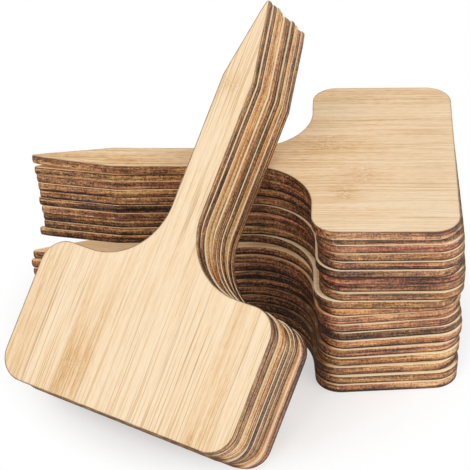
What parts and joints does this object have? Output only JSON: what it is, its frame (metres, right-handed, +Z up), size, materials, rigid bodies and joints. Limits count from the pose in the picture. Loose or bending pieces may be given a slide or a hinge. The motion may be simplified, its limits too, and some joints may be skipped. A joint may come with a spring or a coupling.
{
  "type": "plant label stake",
  "caption": "T-shaped plant labels cut from thin bamboo sheet, each a pointed stem under a wide writing head, lying in a squared pile with a bundle leaning on it.",
  "frame": {"origin": "middle of the bottom label's length, on its underside, where the pile rests", "axes": "+X along the bottom label from its point towards its head, +Z up, +Y away from the leaning bundle"},
  "size_m": [0.1072, 0.1015, 0.084],
  "materials": {
    "bamboo": "sanded pale bamboo faces with scorched laser-cut edges"
  },
  "bodies": {
    "lying_label_01": {"lying_label_01": "bamboo"},
    "lying_label_02": {"lying_label_02": "bamboo"},
    "lying_label_03": {"lying_label_03": "bamboo"},
    "lying_label_04": {"lying_label_04": "bamboo"},
    "lying_label_05": {"lying_label_05": "bamboo"},
    "lying_label_06": {"lying_label_06": "bamboo"},
    "lying_label_07": {"lying_label_07": "bamboo"},
    "lying_label_08": {"lying_label_08": "bamboo"},
    "lying_label_09": {"lying_label_09": "bamboo"},
    "lying_label_10": {"lying_label_10": "bamboo"},
    "lying_label_11": {"lying_label_11": "bamboo"},
    "lying_label_12": {"lying_label_12": "bamboo"},
    "lying_label_13": {"lying_label_13": "bamboo"},
    "lying_label_14": {"lying_label_14": "bamboo"},
    "lying_label_15": {"lying_label_15": "bamboo"},
    "lying_label_16": {"lying_label_16": "bamboo"},
    "lying_label_17": {"lying_label_17": "bamboo"},
    "lying_label_18": {"lying_label_18": "bamboo"},
    "lying_label_19": {"lying_label_19": "bamboo"},
    "lying_label_20": {"lying_label_20": "bamboo"},
    "leaning_label_01": {"leaning_label_01": "bamboo"},
    "leaning_label_02": {"leaning_label_02": "bamboo"},
    "leaning_label_03": {"leaning_label_03": "bamboo"},
    "leaning_label_04": {"leaning_label_04": "bamboo"},
    "leaning_label_05": {"leaning_label_05": "bamboo"},
    "leaning_label_06": {"leaning_label_06": "bamboo"},
    "leaning_label_07": {"leaning_label_07": "bamboo"},
    "leaning_label_08": {"leaning_label_08": "bamboo"},
    "leaning_label_09": {"leaning_label_09": "bamboo"},
    "leaning_label_10": {"leaning_label_10": "bamboo"}
  },
  "joints": [
    {"name": "lying_lift_02", "type": "slide", "parent": "lying_label_01", "child": "lying_label_02", "axis": [0.4604, 0.6775, 0.5736], "range_m": [0, 0.015]},
    {"name": "lying_lift_03", "type": "slide", "parent": "lying_label_02", "child": "lying_label_03", "axis": [0.4604, 0.6775, 0.5736], "range_m": [0, 0.015]},
    {"name": "lying_lift_04", "type": "slide", "parent": "lying_label_03", "child": "lying_label_04", "axis": [0.4604, 0.6775, 0.5736], "range_m": [0, 0.015]},
    {"name": "lying_lift_05", "type": "slide", "parent": "lying_label_04", "child": "lying_label_05", "axis": [0.4604, 0.6775, 0.5736], "range_m": [0, 0.015]},
    {"name": "lying_lift_06", "type": "slide", "parent": "lying_label_05", "child": "lying_label_06", "axis": [0.4604, 0.6775, 0.5736], "range_m": [0, 0.015]},
    {"name": "lying_lift_07", "type": "slide", "parent": "lying_label_06", "child": "lying_label_07", "axis": [0.4604, 0.6775, 0.5736], "range_m": [0, 0.015]},
    {"name": "lying_lift_08", "type": "slide", "parent": "lying_label_07", "child": "lying_label_08", "axis": [0.4604, 0.6775, 0.5736], "range_m": [0, 0.015]},
    {"name": "lying_lift_09", "type": "slide", "parent": "lying_label_08", "child": "lying_label_09", "axis": [0.4604, 0.6775, 0.5736], "range_m": [0, 0.015]},
    {"name": "lying_lift_10", "type": "slide", "parent": "lying_label_09", "child": "lying_label_10", "axis": [0.4604, 0.6775, 0.5736], "range_m": [0, 0.015]},
    {"name": "lying_lift_11", "type": "slide", "parent": "lying_label_10", "child": "lying_label_11", "axis": [0.4604, 0.6775, 0.5736], "range_m": [0, 0.015]},
    {"name": "lying_lift_12", "type": "slide", "parent": "lying_label_11", "child": "lying_label_12", "axis": [0.4604, 0.6775, 0.5736], "range_m": [0, 0.015]},
    {"name": "lying_lift_13", "type": "slide", "parent": "lying_label_12", "child": "lying_label_13", "axis": [0.4604, 0.6775, 0.5736], "range_m": [0, 0.015]},
    {"name": "lying_lift_14", "type": "slide", "parent": "lying_label_13", "child": "lying_label_14", "axis": [0.4604, 0.6775, 0.5736], "range_m": [0, 0.015]},
    {"name": "lying_lift_15", "type": "slide", "parent": "lying_label_14", "child": "lying_label_15", "axis": [0.4604, 0.6775, 0.5736], "range_m": [0, 0.015]},
    {"name": "lying_lift_16", "type": "slide", "parent": "lying_label_15", "child": "lying_label_16", "axis": [0.4604, 0.6775, 0.5736], "range_m": [0, 0.015]},
    {"name": "lying_lift_17", "type": "slide", "parent": "lying_label_16", "child": "lying_label_17", "axis": [0.4604, 0.6775, 0.5736], "range_m": [0, 0.015]},
    {"name": "lying_lift_18", "type": "slide", "parent": "lying_label_17", "child": "lying_label_18", "axis": [0.4604, 0.6775, 0.5736], "range_m": [0, 0.015]},
    {"name": "lying_lift_19", "type": "slide", "parent": "lying_label_18", "child": "lying_label_19", "axis": [0.4604, 0.6775, 0.5736], "range_m": [0, 0.015]},
    {"name": "lying_lift_20", "type": "slide", "parent": "lying_label_19", "child": "lying_label_20", "axis": [0.4604, 0.6775, 0.5736], "range_m": [0, 0.015]},
    {"name": "leaning_lift_01", "type": "slide", "parent": "lying_label_01", "child": "leaning_label_01", "axis": [-0.389, -0.5725, 0.7218], "range_m": [0, 0.015]},
    {"name": "leaning_lift_02", "type": "slide", "parent": "leaning_label_01", "child": "leaning_label_02", "axis": [-0.389, -0.5725, 0.7218], "range_m": [0, 0.015]},
    {"name": "leaning_lift_03", "type": "slide", "parent": "leaning_label_02", "child": "leaning_label_03", "axis": [-0.389, -0.5725, 0.7218], "range_m": [0, 0.015]},
    {"name": "leaning_lift_04", "type": "slide", "parent": "leaning_label_03", "child": "leaning_label_04", "axis": [-0.389, -0.5725, 0.7218], "range_m": [0, 0.015]},
    {"name": "leaning_lift_05", "type": "slide", "parent": "leaning_label_04", "child": "leaning_label_05", "axis": [-0.389, -0.5725, 0.7218], "range_m": [0, 0.015]},
    {"name": "leaning_lift_06", "type": "slide", "parent": "leaning_label_05", "child": "leaning_label_06", "axis": [-0.389, -0.5725, 0.7218], "range_m": [0, 0.015]},
    {"name": "leaning_lift_07", "type": "slide", "parent": "leaning_label_06", "child": "leaning_label_07", "axis": [-0.389, -0.5725, 0.7218], "range_m": [0, 0.015]},
    {"name": "leaning_lift_08", "type": "slide", "parent": "leaning_label_07", "child": "leaning_label_08", "axis": [-0.389, -0.5725, 0.7218], "range_m": [0, 0.015]},
    {"name": "leaning_lift_09", "type": "slide", "parent": "leaning_label_08", "child": "leaning_label_09", "axis": [-0.389, -0.5725, 0.7218], "range_m": [0, 0.015]},
    {"name": "leaning_lift_10", "type": "slide", "parent": "leaning_label_09", "child": "leaning_label_10", "axis": [-0.389, -0.5725, 0.7218], "range_m": [0, 0.015]}
  ]
}
